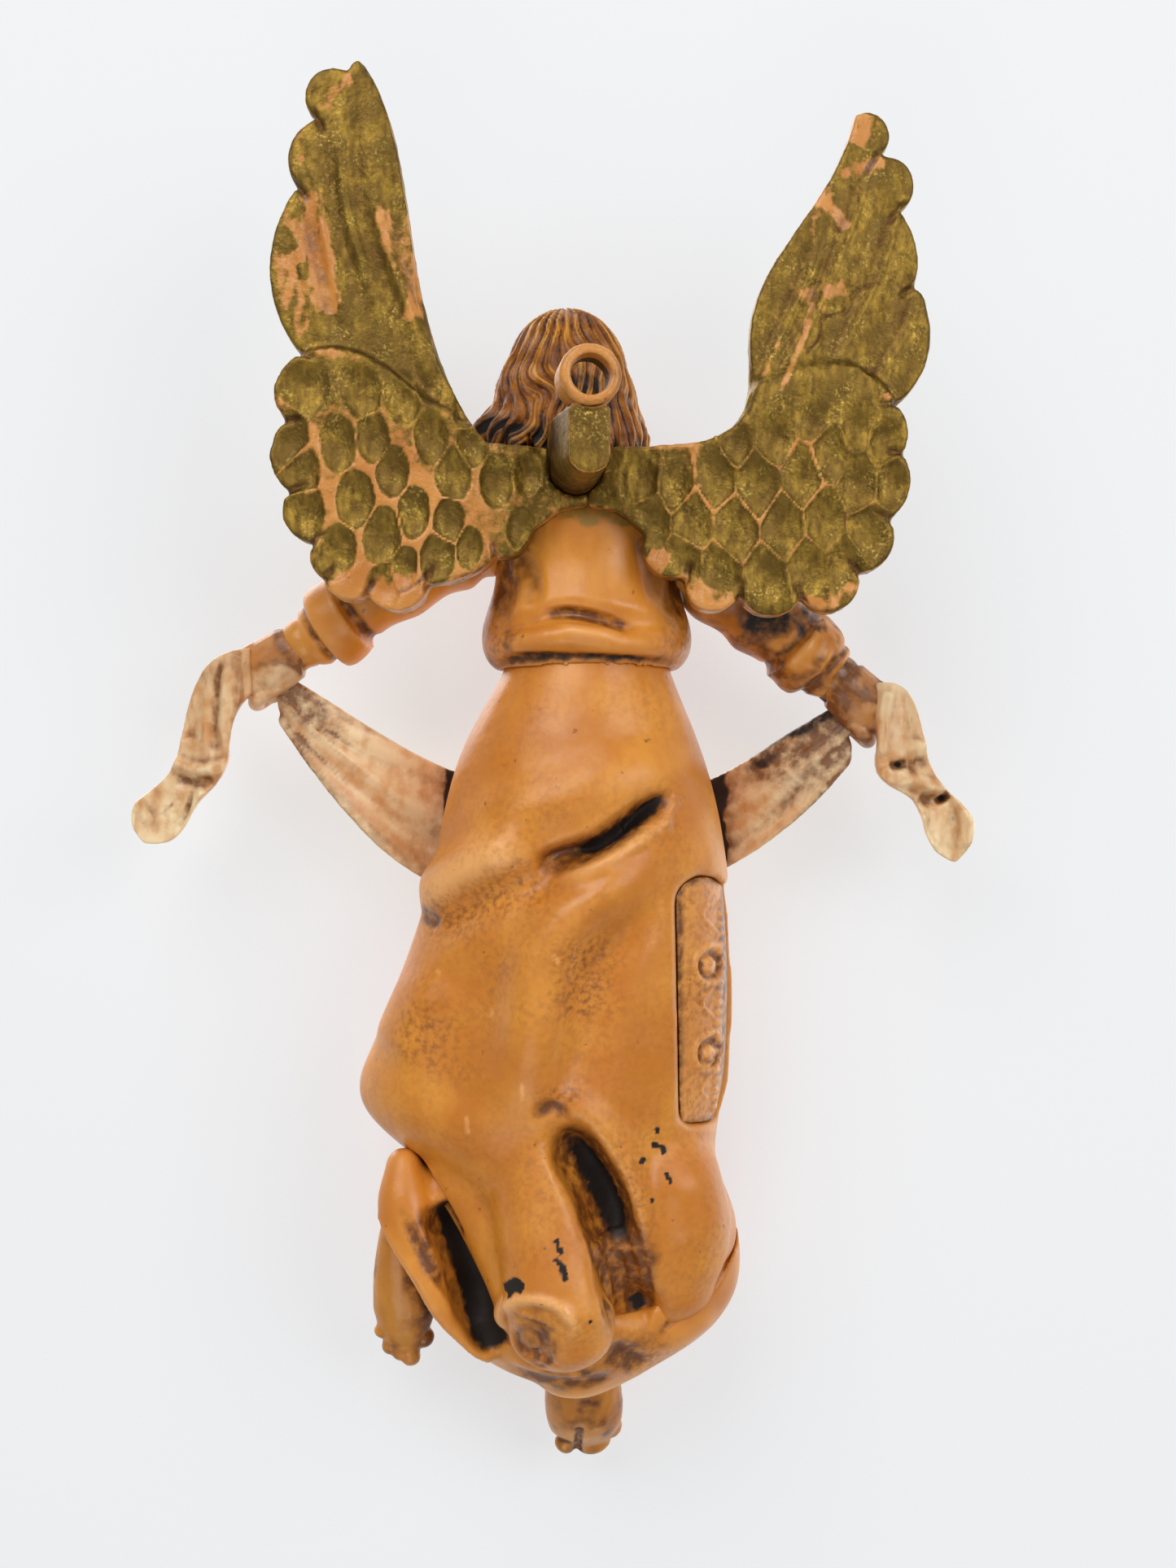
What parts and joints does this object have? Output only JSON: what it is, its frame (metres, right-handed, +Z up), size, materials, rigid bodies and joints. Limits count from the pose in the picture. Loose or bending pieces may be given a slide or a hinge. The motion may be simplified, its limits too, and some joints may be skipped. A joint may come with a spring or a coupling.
{
  "type": "angel figurine",
  "caption": "Hand-painted resin angel with raised wings and a banner held between its hands, hung by a ring on its back.",
  "frame": {"origin": "centre of the hanging ring's bore", "axes": "+Z up along the figure, the face looks along -Y, +X to the angel's left"},
  "size_m": [0.1011, 0.0419, 0.1656],
  "materials": {
    "robe": "satin varnished ochre resin with a dark brown antique wash in the folds",
    "robe_trim": "satin varnished resin with embossed rosettes, brown wash in the relief",
    "hair_and_skin": "orange-brown hair with dark grooves, flesh-coloured face",
    "skin": "satin varnished flesh-ochre with brown wash",
    "hanger": "bare orange resin, gold paint on the post's end",
    "wing_gold": "rubbed antique gold paint over orange resin",
    "banner": "cream paint with tan and brown streaks"
  },
  "bodies": {
    "root": {"bodice": "robe", "skirt": "robe", "under_gown": "robe", "side_panel": "robe_trim", "head": "hair_and_skin", "hanger": "hanger", "left_wing": "wing_gold", "right_wing": "wing_gold", "left_sleeve": "robe", "right_sleeve": "robe", "left_forearm": "robe", "right_forearm": "robe", "left_hand": "skin", "right_hand": "skin", "banner": "banner", "left_banner_tail": "banner", "right_banner_tail": "banner", "left_foot": "skin", "right_foot": "skin"}
  },
  "joints": []
}
